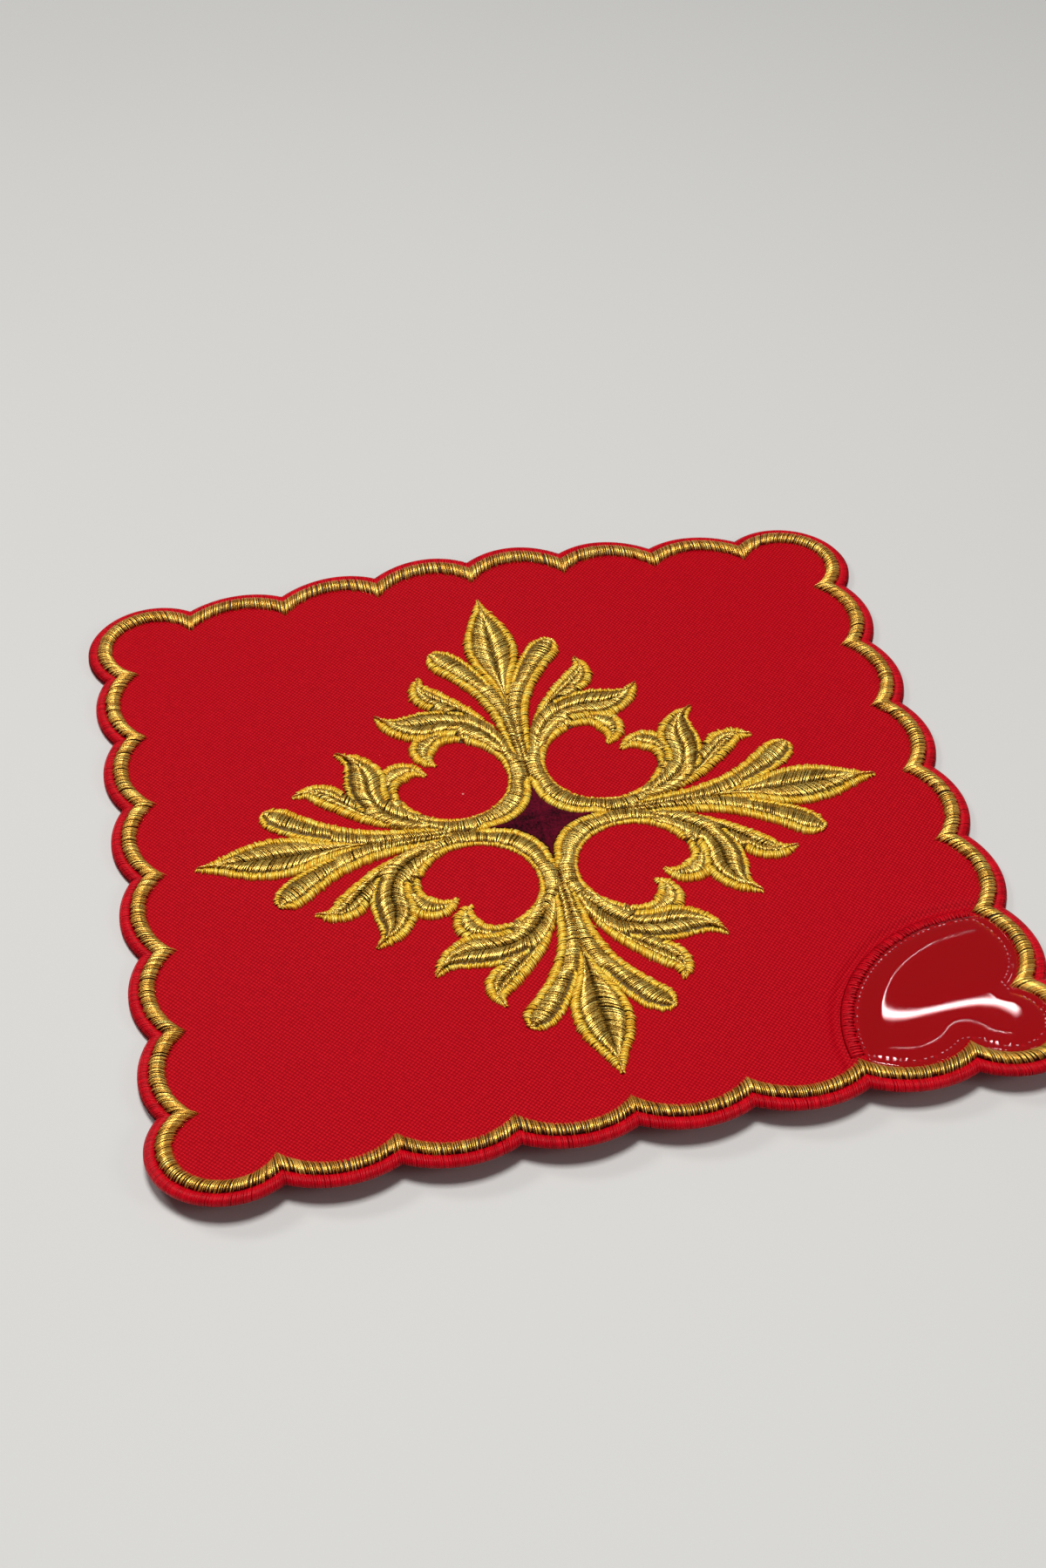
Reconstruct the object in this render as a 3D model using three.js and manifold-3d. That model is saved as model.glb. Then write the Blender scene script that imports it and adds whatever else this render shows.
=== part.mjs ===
// A square chalice pall, 18 cm across, lying on a table.
// A panel of red twill has a scalloped edge with a round lobe at each corner. The cut edge is bound with
// red satin stitch, and a gold satin border runs just inside it. In the middle are four leafy arms and
// four scrolls, raised in gold, round a dark velvet star. A clear sheet is sewn over the right front corner.
// Millimetres, +Z up. The origin is on the table under the middle. -Y is the front edge, +X the right edge.

import * as THREE from 'three';
import { mergeVertices } from 'three/addons/utils/BufferGeometryUtils.js';
import Module from 'manifold-3d';

const wasm = await Module();
wasm.setup();

// The scalloped edge. Every line along it runs beside the gold border's inner edge, at an offset from it.
const scallopPitch = 22;
const scallopsPerSide = 6;
const scallopRadius = 15;
const scallopCentres = 69;
const lobeCentre = 74.6;
const stepsPerScallop = 6;
const stepsPerLobe = 12;

// Heights above the table, and the gap that parts a sewn piece from what carries it
const clothTop = 1.6;
const sewingGap = 0.3;
const seat = clothTop + sewingGap;

// Widths across the edge, as offsets
const clothEdge = 2.6;
const rimInner = clothEdge + sewingGap;
const rimOuter = 5.7;
const rimTop = 2.2;
const goldOuter = 3.1;
const goldTop = 3.05;

// The stiff cloth lies flat across its middle. It rises in a bow at the back and in a slight curl in front.
const backRiseStart = 11;
const backRise = 5.6;
const backRiseMiddle = 3;
const backRiseWidth = 47;
const frontRiseStart = 33;
const frontRise = 4.2;
const clothReach = 90;

// The bent sheets are cut from a square of this size, in cells small enough to follow the rise
const sheetSize = 198;
const sheetCells = 18;
const cutterHeight = 40;

// Embroidery: how high a leaf's edge and its crown stand over the cloth
const leafEdgeHeight = 1.1;
const leafCrownHeight = 1.5;
const leafShoulderShare = 0.12;
const leafSteps = 12;

// The bare round loops between the arms, and the velvet star between the scrolls
const loopCentre = 16.3;
const loopRadius = 12;
const starSideRadius = 11.7;
const starHeight = 1;
const starSideSteps = 8;
const scrollSteps = 30;
const embroideryReach = 60;

// The clear sheet on the corner, bounded by an arc about a point near the corner, and the line that sews it
const patchCentre = 77;
const patchRadius = 31.5;
const patchThickness = 1;
const patchStitchWidth = 2.4;
const patchStitchHeight = 1;

const circleSteps = 72;

const colours = {
  cloth: 0xb40516,
  rim: 0xbe0014,
  gold: 0xcda24c,
  leaves: 0xb08a3c,
  star: 0x3c051c,
  clearSheet: 0xa00014,
  stitching: 0xc8101e,
};

// Leaves of the arm that points along +Y, left half. Each row of a spine is x, y and the half width there.
const centreLeaf = [
  { x: 0, y: 43, half: 1.2 },
  { x: 0, y: 47, half: 3 },
  { x: 0, y: 52, half: 5.4 },
  { x: 0, y: 57.5, half: 6 },
  { x: 0, y: 63, half: 4.8 },
  { x: 0, y: 68.5, half: 2.3 },
  { x: 0, y: 72.8, half: 0.3 },
];
const finger = [
  { x: -1.1, y: 20.5, half: 1 },
  { x: -1.6, y: 29, half: 1.7 },
  { x: -2.4, y: 37, half: 2.4 },
  { x: -5, y: 44.5, half: 2.9 },
  { x: -9.1, y: 51.3, half: 3.5 },
  { x: -11.6, y: 54.5, half: 3.7 },
  { x: -13.7, y: 56.6, half: 2.2 },
];

// Leaves at the top end of the scroll to the left of that arm
const scrollLeaves = {
  upperLeaflet: [
    { x: -4.8, y: 30, half: 1.2 },
    { x: -8.8, y: 36, half: 2 },
    { x: -13, y: 40, half: 2.6 },
    { x: -17.2, y: 43.6, half: 3 },
    { x: -18.9, y: 47, half: 1.8 },
    { x: -17.9, y: 50.4, half: 0.3 },
  ],
  mainLeaf: [
    { x: -3.4, y: 22, half: 1.5 },
    { x: -5.8, y: 28, half: 2.7 },
    { x: -10, y: 32.6, half: 3.7 },
    { x: -15.4, y: 34.5, half: 4.4 },
    { x: -21, y: 34.5, half: 4.7 },
    { x: -26.2, y: 36.1, half: 2.7 },
    { x: -29.6, y: 39.7, half: 0.3 },
  ],
  lowerLeaflet: [
    { x: -9, y: 28.6, half: 1.4 },
    { x: -13.5, y: 29.8, half: 1.8 },
    { x: -18.3, y: 29.6, half: 2.4 },
    { x: -21.4, y: 27.4, half: 2.6 },
    { x: -21.6, y: 24.9, half: 2.1 },
    { x: -20.6, y: 23, half: 1.2 },
    { x: -18.9, y: 21.9, half: 0.3 },
  ],
};

// Width of a scroll's band at angles from the diagonal that it crosses, the same on both sides of it
const scrollWidths = [
  { angle: 0, width: 6.6 },
  { angle: 21, width: 5.9 },
  { angle: 45, width: 4 },
  { angle: 62, width: 4.2 },
  { angle: 82, width: 3.6 },
  { angle: 102, width: 3 },
  { angle: 122, width: 2.4 },
  { angle: 137, width: 1 },
];

// How far the cloth stands off the table at a place on it
function rise(x, y) {
  const back = Math.max(0, y - backRiseStart) / (clothReach - backRiseStart);
  const front = Math.max(0, -y - frontRiseStart) / (clothReach - frontRiseStart);
  const bow = Math.exp(-(((x - backRiseMiddle) / backRiseWidth) ** 2));
  return backRise * bow * back ** 2 + frontRise * front ** 2;
}

// Moves every point of a flat-built piece up with the cloth under it
function laidOnCloth(geometry) {
  const place = geometry.getAttribute('position');
  for (let i = 0; i < place.count; i += 1) {
    place.setZ(i, place.getZ(i) + rise(place.getX(i), place.getY(i)));
  }
  geometry.computeVertexNormals();
  return geometry;
}

// The crossing of two circles that lies on the outer side of their centre line
function circleCrossing(x1, y1, r1, x2, y2, r2) {
  const span = Math.hypot(x2 - x1, y2 - y1);
  const along = (r1 ** 2 - r2 ** 2 + span ** 2) / (2 * span);
  const across = Math.sqrt(r1 ** 2 - along ** 2);
  const ux = (x2 - x1) / span;
  const uy = (y2 - y1) / span;
  return [x1 + along * ux - across * uy, y1 + along * uy + across * ux];
}

function arcPoints(cx, cy, radius, start, end, steps) {
  const points = [];
  for (let i = 0; i < steps; i += 1) {
    const angle = start + ((end - start) * i) / steps;
    points.push([cx + radius * Math.cos(angle), cy + radius * Math.sin(angle)]);
  }
  return points;
}

function circle(cx, cy, radius) {
  return arcPoints(cx, cy, radius, 0, 2 * Math.PI, circleSteps);
}

// One anticlockwise line round the pall: a corner lobe and six scallops, four times
function edgeLine(offset) {
  const tipY = scallopCentres + Math.sqrt(scallopRadius ** 2 - (scallopPitch / 2) ** 2);
  const tipX = (scallopsPerSide / 2) * scallopPitch;
  const radius = scallopRadius + offset;
  const lobeRadius = Math.hypot(tipX - lobeCentre, tipY - lobeCentre) + offset;
  const lastCentre = tipX - scallopPitch / 2;
  const [px, py] = circleCrossing(lastCentre, scallopCentres, radius, lobeCentre, lobeCentre, lobeRadius);
  const lobeAngle = Math.atan2(py - lobeCentre, px - lobeCentre);
  const lastAngle = Math.atan2(py - scallopCentres, px - lastCentre);
  const halfAngle = Math.asin(scallopPitch / 2 / radius);
  const lobeStart = Math.PI / 2 - lobeAngle;
  const quarter = arcPoints(lobeCentre, lobeCentre, lobeRadius, lobeStart, lobeAngle, stepsPerLobe);
  for (let k = 0; k < scallopsPerSide; k += 1) {
    const start = k === 0 ? lastAngle : Math.PI / 2 - halfAngle;
    const end = k === scallopsPerSide - 1 ? Math.PI - lastAngle : Math.PI / 2 + halfAngle;
    const cx = lastCentre - k * scallopPitch;
    quarter.push(...arcPoints(cx, scallopCentres, radius, start, end, stepsPerScallop));
  }
  const line = [];
  for (let turn = 0; turn < 4; turn += 1) {
    const c = Math.cos((turn * Math.PI) / 2);
    const s = Math.sin((turn * Math.PI) / 2);
    line.push(...quarter.map(([x, y]) => [c * x - s * y, s * x + c * y]));
  }
  return line;
}

// A closed body from rows of points with the same count. Rows either close round or end in flat caps.
function bodyFromRows(rows, rowsCloseRound) {
  const count = rows[0].length;
  const index = [];
  const lastRow = rowsCloseRound ? rows.length : rows.length - 1;
  for (let i = 0; i < lastRow; i += 1) {
    const here = i * count;
    const next = ((i + 1) % rows.length) * count;
    for (let j = 0; j < count; j += 1) {
      const k = (j + 1) % count;
      index.push(here + j, here + k, next + k, here + j, next + k, next + j);
    }
  }
  if (!rowsCloseRound) {
    const end = (rows.length - 1) * count;
    for (let j = 1; j < count - 1; j += 1) {
      index.push(0, j + 1, j, end, end + j, end + j + 1);
    }
  }
  const geometry = new THREE.BufferGeometry();
  geometry.setAttribute('position', new THREE.Float32BufferAttribute(rows.flat(2), 3));
  geometry.setIndex(index);
  if (signedVolume(geometry) < 0) {
    index.reverse();
    geometry.setIndex(index);
  }
  return geometry;
}

function signedVolume(geometry) {
  const place = geometry.getAttribute('position');
  const [a, b, c] = [new THREE.Vector3(), new THREE.Vector3(), new THREE.Vector3()];
  let volume = 0;
  for (let i = 0; i < geometry.index.count; i += 3) {
    a.fromBufferAttribute(place, geometry.index.getX(i));
    b.fromBufferAttribute(place, geometry.index.getX(i + 1));
    c.fromBufferAttribute(place, geometry.index.getX(i + 2));
    volume += a.dot(b.cross(c)) / 6;
  }
  return volume;
}

function toSolid(geometry) {
  const bare = geometry.clone();
  bare.deleteAttribute('normal');
  bare.deleteAttribute('uv');
  const merged = mergeVertices(bare, 1e-4);
  const vertProperties = new Float32Array(merged.getAttribute('position').array);
  const triVerts = new Uint32Array(merged.index.array);
  return new wasm.Manifold(new wasm.Mesh({ numProp: 3, vertProperties, triVerts }));
}

function toGeometry(solid) {
  const mesh = solid.getMesh();
  const geometry = new THREE.BufferGeometry();
  geometry.setAttribute('position', new THREE.BufferAttribute(new Float32Array(mesh.vertProperties), 3));
  geometry.setIndex(new THREE.BufferAttribute(new Uint32Array(mesh.triVerts), 1));
  geometry.computeVertexNormals();
  return geometry;
}

// A tall straight-sided block with the given outline, for cutting sheets to shape
function cutter(points, holes = []) {
  const shape = new THREE.Shape(points.map(([x, y]) => new THREE.Vector2(x, y)));
  shape.holes = holes.map((hole) => new THREE.Path(hole.map(([x, y]) => new THREE.Vector2(x, y))));
  const block = new THREE.ExtrudeGeometry(shape, { depth: cutterHeight, bevelEnabled: false, steps: 1 });
  block.translate(0, 0, -cutterHeight / 2);
  return toSolid(block);
}

// A square sheet between two heights, already bent to the cloth's rise
function bentSheet(bottom, top) {
  const sheet = new THREE.BoxGeometry(sheetSize, sheetSize, top - bottom, sheetCells, sheetCells, 1);
  sheet.translate(0, 0, (top + bottom) / 2);
  return toSolid(laidOnCloth(sheet));
}

// A band that follows the whole edge. The section is a closed list of offset and height.
function edgeBand(section) {
  const rows = section.map(({ offset, height }) => edgeLine(offset).map(([x, y]) => [x, y, height]));
  return laidOnCloth(bodyFromRows(rows, true));
}

function clothPanel() {
  return toGeometry(bentSheet(0, clothTop).intersect(cutter(edgeLine(clothEdge))));
}

function redRim() {
  return edgeBand([
    { offset: rimInner, height: 0 },
    { offset: rimOuter - 1, height: 0 },
    { offset: rimOuter, height: 0.9 },
    { offset: rimOuter - 0.5, height: rimTop - 0.3 },
    { offset: rimOuter - 1.7, height: rimTop },
    { offset: rimInner, height: clothTop },
  ]);
}

function goldBorder() {
  return edgeBand([
    { offset: 0, height: seat },
    { offset: clothEdge, height: seat },
    { offset: goldOuter, height: seat + 0.5 },
    { offset: goldOuter - 0.8, height: goldTop },
    { offset: 0.8, height: goldTop },
    { offset: 0, height: seat + 0.5 },
  ]);
}

// The section of raised embroidery between two sides: steep edges and a low crown
function raisedSection(left, right) {
  const at = (share, height) => [
    left[0] + (right[0] - left[0]) * share,
    left[1] + (right[1] - left[1]) * share,
    seat + height,
  ];
  return [
    at(0, 0),
    at(leafShoulderShare, leafEdgeHeight),
    at(0.5, leafCrownHeight),
    at(1 - leafShoulderShare, leafEdgeHeight),
    at(1, 0),
  ];
}

// Raised embroidery between two long sides that have the same number of points
function raisedBand({ left, right }) {
  return toSolid(bodyFromRows(left.map((point, i) => raisedSection(point, right[i])), false));
}

// The same plan as a tall block that clears room for it
function bandCutter({ left, right }) {
  return cutter([...left, ...right.toReversed()]);
}

// The two sides of a leaf along a smooth curve through its spine's rows, grown where it clears a neighbour
function leafSides(spine, grown = 0) {
  const curve = new THREE.CatmullRomCurve3(spine.map(({ x, y, half }) => new THREE.Vector3(x, y, half)));
  const left = [];
  const right = [];
  for (let i = 0; i <= leafSteps; i += 1) {
    const here = curve.getPoint(i / leafSteps);
    const { x: aheadX, y: aheadY } = curve.getTangent(i / leafSteps).setZ(0).normalize();
    const pastEnd = grown * (Number(i === leafSteps) - Number(i === 0));
    const [x, y] = [here.x + aheadX * pastEnd, here.y + aheadY * pastEnd];
    const half = here.z + grown;
    left.push([x - aheadY * half, y + aheadX * half]);
    right.push([x + aheadY * half, y - aheadX * half]);
  }
  return { left, right };
}

function scrollWidth(angle) {
  const turned = Math.abs(angle);
  const next = Math.max(1, scrollWidths.findIndex((row) => row.angle >= turned));
  const from = scrollWidths[next - 1];
  const to = scrollWidths[next];
  return from.width + ((to.width - from.width) * (turned - from.angle)) / (to.angle - from.angle);
}

// The two sides of the C-shaped band round the loop between the back arm and the left arm
function scrollSides() {
  const reach = scrollWidths.at(-1).angle;
  const left = [];
  const right = [];
  for (let i = 0; i <= scrollSteps; i += 1) {
    const turned = reach * ((2 * i) / scrollSteps - 1);
    const angle = THREE.MathUtils.degToRad(turned - 45);
    const at = (r) => [-loopCentre + r * Math.cos(angle), loopCentre + r * Math.sin(angle)];
    left.push(at(loopRadius + scrollWidth(turned)));
    right.push(at(loopRadius));
  }
  return { left, right };
}

const flipX = (spine) => spine.map((row) => ({ ...row, x: -row.x }));
const flipDiagonal = (spine) => spine.map((row) => ({ ...row, x: -row.y, y: -row.x }));

// One arm's trunk, with its two fingers and the leaf between them
function armAt(turn) {
  const spines = [centreLeaf, finger, flipX(finger)];
  const pieces = spines.map((spine) => raisedBand(leafSides(spine)));
  return toGeometry(wasm.Manifold.union(pieces)).rotateZ((turn * Math.PI) / 2);
}

// One scroll with the leaves at both its ends. It keeps to its own quarter, beside two arms and the star.
function scrollAt(turn) {
  const spines = Object.values(scrollLeaves).flatMap((spine) => [spine, flipDiagonal(spine)]);
  const leaves = spines.map((spine) => raisedBand(leafSides(spine)));
  const whole = wasm.Manifold.union([raisedBand(scrollSides()), ...leaves]);
  const near = sewingGap / 2;
  const far = embroideryReach;
  const quarter = cutter([[-far, near], [-near, near], [-near, far], [-far, far]]);
  const side = starSideRadius;
  const starCorner = cutter([[-side, 0], [0, 0], [0, side], [-side, side]]);
  const starSide = cutter(circle(-side, side, side));
  const arms = [finger, flipDiagonal(finger)].map((spine) => bandCutter(leafSides(spine, sewingGap)));
  const cleared = wasm.Manifold.union([starCorner.subtract(starSide), ...arms]);
  return toGeometry(whole.intersect(quarter).subtract(cleared)).rotateZ((turn * Math.PI) / 2);
}

function velvetStar() {
  const radius = starSideRadius + sewingGap;
  const reach = Math.acos(starSideRadius / radius);
  const outline = [];
  for (let turn = 0; turn < 4; turn += 1) {
    const facing = Math.PI / 4 + (turn * Math.PI) / 2;
    const away = Math.SQRT2 * starSideRadius;
    const cx = away * Math.cos(facing);
    const cy = away * Math.sin(facing);
    const middle = facing + Math.PI;
    const half = Math.PI / 4 - reach;
    outline.push(...arcPoints(cx, cy, radius, middle + half, middle - half, starSideSteps));
  }
  const shape = new THREE.Shape(outline.map(([x, y]) => new THREE.Vector2(x, y)));
  return new THREE.ExtrudeGeometry(shape, { depth: starHeight, bevelEnabled: false, steps: 1 });
}

function clearPatch() {
  const round = cutter(circle(patchCentre, -patchCentre, patchRadius));
  const inside = cutter(edgeLine(-sewingGap));
  return toGeometry(bentSheet(seat, seat + patchThickness).intersect(round).intersect(inside));
}

function patchStitching() {
  const inner = patchRadius + sewingGap;
  const outer = inner + patchStitchWidth;
  const ring = cutter(circle(patchCentre, -patchCentre, outer), [circle(patchCentre, -patchCentre, inner)]);
  const inside = cutter(edgeLine(-sewingGap));
  return toGeometry(bentSheet(seat, seat + patchStitchHeight).intersect(ring).intersect(inside));
}

function addPiece(group, name, geometry, colour, roughness, metalness = 0) {
  const material = new THREE.MeshStandardMaterial({ color: colour, roughness, metalness });
  const mesh = new THREE.Mesh(geometry, material);
  mesh.name = name;
  group.add(mesh);
  return mesh;
}

function pall() {
  const group = new THREE.Group();
  addPiece(group, 'pall_cloth', clothPanel(), colours.cloth, 0.85);
  addPiece(group, 'red_rim', redRim(), colours.rim, 0.5);
  addPiece(group, 'gold_border', goldBorder(), colours.gold, 0.35, 0.8);
  const sides = ['back', 'left', 'front', 'right'];
  const corners = ['back_left', 'front_left', 'front_right', 'back_right'];
  for (let turn = 0; turn < 4; turn += 1) {
    const arm = laidOnCloth(armAt(turn));
    addPiece(group, `leaf_arm_${sides[turn]}`, arm, colours.leaves, 0.35, 0.8);
    const band = laidOnCloth(scrollAt(turn));
    addPiece(group, `scroll_${corners[turn]}`, band, colours.leaves, 0.35, 0.8);
  }
  const star = addPiece(group, 'centre_star', velvetStar(), colours.star, 0.95);
  star.position.z = seat;
  addPiece(group, 'clear_patch', clearPatch(), colours.clearSheet, 0.08);
  addPiece(group, 'patch_stitching', patchStitching(), colours.stitching, 0.5);
  return group;
}

export default pall();
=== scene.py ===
# %% [markdown]
# # A chalice pall in red cloth with gold embroidery
# This lesson dresses a packed CAD model of a small square altar cloth, 18 cm across. The real one is a stiff
# red panel with a scalloped edge. The edge is bound in red satin stitch with a gold border inside it. In the
# middle are four leafy arms and four scrolls of gold thread round a star of dark velvet, and a clear sheet is
# sewn over one corner.
# The CAD solids give each piece its place. Every stitch is then a small body of its own here, because thread
# shines along its length only if light meets a long round surface. A bump texture alone can't do that. All
# chance comes from one seeded generator, so every run makes the same pall.

import math

import bpy
import numpy as np
from mathutils import Matrix, Vector
from mathutils.geometry import delaunay_2d_cdt


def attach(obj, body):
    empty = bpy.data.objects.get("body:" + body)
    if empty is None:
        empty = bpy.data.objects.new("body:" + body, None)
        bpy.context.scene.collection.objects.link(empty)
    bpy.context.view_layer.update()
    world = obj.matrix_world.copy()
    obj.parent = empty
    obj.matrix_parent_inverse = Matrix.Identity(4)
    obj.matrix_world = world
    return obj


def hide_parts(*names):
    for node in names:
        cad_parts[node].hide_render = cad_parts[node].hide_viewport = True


SEED = 22
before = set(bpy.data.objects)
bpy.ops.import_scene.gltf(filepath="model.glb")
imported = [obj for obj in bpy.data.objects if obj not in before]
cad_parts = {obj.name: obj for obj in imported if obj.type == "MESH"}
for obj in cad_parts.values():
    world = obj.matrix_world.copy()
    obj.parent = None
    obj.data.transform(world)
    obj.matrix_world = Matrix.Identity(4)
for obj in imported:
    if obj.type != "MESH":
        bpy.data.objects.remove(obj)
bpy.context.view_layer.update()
draw = np.random.default_rng(SEED)
print("CAD nodes:", ", ".join(sorted(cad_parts)))

# %% [markdown]
# ## Camera
# The camera stands in front of the pall, a little to its left, and looks down at about 42 degrees. It is set
# by where it aims, three angles and how far off it is. Read from the left, its matrix goes to the aim, turns,
# tilts and rolls there, and then steps back. That is easier to check than a place and a rotation.

# %% Place the camera
MM = 0.001
LONG_SIDE_PIXELS, FOCAL_PIXELS, SENSOR_WIDTH = 1799, 2733, 36
AZIMUTH, ELEVATION, ROLL = math.radians(-11.41), math.radians(42.03), math.radians(-0.26)
AIM, DISTANCE = Vector((-1.23, 14.26, 0)), 511.9

lens = bpy.data.cameras.new("viewing_camera")
camera = bpy.data.objects.new("viewing_camera", lens)
bpy.context.scene.collection.objects.link(camera)
lens.sensor_width = SENSOR_WIDTH
lens.lens = FOCAL_PIXELS / LONG_SIDE_PIXELS * SENSOR_WIDTH
lens.clip_start, lens.clip_end = 0.02, 20
turn_and_tilt = Matrix.Rotation(AZIMUTH, 4, "Z") @ Matrix.Rotation(math.pi / 2 - ELEVATION, 4, "X")
step_back = Matrix.Rotation(ROLL, 4, "Z") @ Matrix.Translation((0, 0, DISTANCE * MM))
camera.matrix_world = Matrix.Translation(AIM * MM) @ turn_and_tilt @ step_back
bpy.context.scene.camera = camera
print(f"camera {DISTANCE:.0f} mm away with a {lens.lens:.1f} mm lens")

# %% [markdown]
# ## Studio
# A metallic thread mirrors the lamps, so fairly small ones make one half of a leaf bright and leave the other
# dark. The main lamp hangs overhead, a weaker one stands at the back left and a third fills in from the front
# right. A thin strip stands behind the pall, where the glossy sheet mirrors it to the camera as a streak. The
# floor is a plain pale plane.

# %% Light the studio and lay the floor
def soft_lamp(name, place, size, power, aim=(0, 0, 0)):
    """A rectangular lamp that stands at a place and shines towards its aim."""
    lamp = bpy.data.lights.new(name, "AREA")
    lamp.shape = "RECTANGLE"
    lamp.size, lamp.size_y = size
    lamp.energy = power
    stand = bpy.data.objects.new(name, lamp)
    bpy.context.scene.collection.objects.link(stand)
    stand.location = place
    stand.rotation_euler = (Vector(aim) - Vector(place)).to_track_quat("-Z", "Y").to_euler()


soft_lamp("top_lamp", (-0.05, 0.0, 1.1), (0.34, 0.3), 10)
soft_lamp("back_left_lamp", (-0.62, 0.55, 0.8), (0.3, 0.25), 2.6)
soft_lamp("front_right_lamp", (0.8, -0.6, 0.6), (0.3, 0.3), 1.4)
soft_lamp("streak_lamp", (0.42, 0.83, 0.73), (0.13, 0.004), 0.07, (0.88, 0, 0))

room = bpy.data.worlds.new("studio")
bpy.context.scene.world = room
room.use_nodes = True
air = room.node_tree.nodes["Background"].inputs
air["Color"].default_value = (0.9, 0.93, 1, 1)
air["Strength"].default_value = 0.11
bpy.context.scene.view_settings.view_transform = "Standard"

FLOOR_REACH = 3.0
floor_corners = [(x * FLOOR_REACH, y * FLOOR_REACH, 0) for x, y in ((-1, -1), (1, -1), (1, 1), (-1, 1))]
floor_mesh = bpy.data.meshes.new("floor")
floor_mesh.from_pydata(floor_corners, [], [(0, 1, 2, 3)])
floor = bpy.data.objects.new("floor", floor_mesh)
bpy.context.scene.collection.objects.link(floor)

# %% [markdown]
# ## Arithmetic in a material
# A shader's maths is a web of Math nodes, which is hard to read, so Python writes it here. The class below
# wraps one socket and gives it plus, minus, times and powers, and an expression adds its own nodes. Reflected
# forms let a bare number stand first, as in 1 - mask. One more method makes any other node. Steps that every
# finish shares, such as mixing two colours by a mask, are functions beside it.

# %% A socket that can be calculated with
class Wire:
    """One output socket in a material's tree of nodes."""

    def __init__(self, tree, socket=None):
        self.tree, self.socket = tree, socket

    def node(self, kind, settings, values, out=0):
        """A new node, set first and then filled or linked. Gives one of its outputs."""
        made = self.tree.nodes.new(kind)
        for name, value in settings.items():
            setattr(made, name, value)
        for key, value in values.items():
            if isinstance(value, Wire):
                self.tree.links.new(value.socket, made.inputs[key])
            else:
                made.inputs[key].default_value = value
        return Wire(self.tree, made.outputs[out])

    def maths(self, operation, *values):
        return self.node("ShaderNodeMath", {"operation": operation}, dict(enumerate(values)))

    def __add__(self, other):
        return self.maths("ADD", self, other)

    def __mul__(self, other):
        return self.maths("MULTIPLY", self, other)

    def __sub__(self, other):
        return self.maths("SUBTRACT", self, other)

    def __rsub__(self, other):
        return self.maths("SUBTRACT", other, self)

    def __pow__(self, other):
        return self.maths("POWER", self, other)

    def __abs__(self):
        return self.maths("ABSOLUTE", self)

    __radd__, __rmul__ = __add__, __mul__


print("a wrapped socket knows:", ", ".join(name for name, part in vars(Wire).items() if callable(part)))

# %% Colours, masks and bumps
FACTOR, FIRST_COLOUR, SECOND_COLOUR, MIXED_COLOUR = 0, 6, 7, 2


def linear(*parts):
    """The colour that shows as these 0 to 255 screen values, as a shader wants it."""
    parts = [part / 255 for part in parts]
    return (*[p / 12.92 if p <= 0.04045 else ((p + 0.055) / 1.055) ** 2.4 for p in parts], 1)


def mixed(mask, first, second):
    """first where the mask is 0, second where it is 1. Both are wires or screen colours."""
    first, second = (c if isinstance(c, Wire) else linear(*c) for c in (first, second))
    values = {FACTOR: mask, FIRST_COLOUR: first, SECOND_COLOUR: second}
    return mask.node("ShaderNodeMix", {"data_type": "RGBA"}, values, MIXED_COLOUR)


def ramped(value, low, high):
    """0 below low, 1 above high, and a straight line between them."""
    return value.node("ShaderNodeMapRange", {"clamp": True}, dict(enumerate((value, low, high, 0.0, 1.0))))


def finish_named(name, **fixed):
    """A new material with fixed values. Gives it, its shader and the place on the object."""
    material = bpy.data.materials.new(name)
    material.use_nodes = True
    shader = material.node_tree.nodes["Principled BSDF"]
    for key, value in fixed.items():
        shader.inputs[key.replace("_", " ")].default_value = value
    here = Wire(material.node_tree).node("ShaderNodeTexCoord", {}, {}, "Object")
    return material, shader, here


def feed(shader, key, wire):
    wire.tree.links.new(wire.socket, shader.inputs[key])


def grain(here, scale, detail=2.0, rough=0.5):
    """Soft noise with about so many lumps a metre."""
    values = {"Vector": here, "Scale": scale, "Detail": detail, "Roughness": rough}
    return here.node("ShaderNodeTexNoise", {}, values)


def along_axis(here, axis):
    return here.node("ShaderNodeSeparateXYZ", {}, {"Vector": here}, axis)


def bumped(height, depth):
    """A normal from a height from 0 to 1 that stands so many metres high."""
    return height.node("ShaderNodeBump", {}, {"Strength": 1.0, "Distance": depth, "Height": height})


floor_finish, floor_shader, floor_place = finish_named("pale_floor", Roughness=0.6)
feed(floor_shader, "Base Color", mixed(grain(floor_place, 3.0), (205, 203, 199), (211, 210, 206)))
floor.data.materials.append(floor_finish)
print("nodes in the floor's finish:", len(floor_finish.node_tree.nodes))

# %% [markdown]
# ## The shape of the cloth
# Every sewn thing here lies on the cloth, so one function must say how high the cloth is at any place. The
# panel lies flat across its middle. It rises in a bow at the back and curls up a little in front. Sewing also
# draws cloth in, so there is a groove beside the corner sheet's stitching and slight waves all over.

# %% Height of the cloth
CLOTH_TOP, WAVE_HEIGHT = 1.6, 0.05
BACK_START, BACK_RISE, BOW_MIDDLE, BOW_WIDTH = 11, 5.6, 3, 47
FRONT_START, FRONT_RISE, CLOTH_REACH = 33, 4.2, 90
PATCH_CENTRE = np.array([77.0, -77.0])
PATCH_RADIUS = 31.5
GROOVE_RADIUS, GROOVE_WIDTH, GROOVE_DEPTH = 35.1, 1.1, 0.75


def rise(x, y):
    """How far the bow and the curl lift the cloth, in millimetres."""
    back = np.maximum(0, y - BACK_START) / (CLOTH_REACH - BACK_START)
    front = np.maximum(0, -y - FRONT_START) / (CLOTH_REACH - FRONT_START)
    bow = np.exp(-(((x - BOW_MIDDLE) / BOW_WIDTH) ** 2))
    return BACK_RISE * bow * back**2 + FRONT_RISE * front**2


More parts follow.
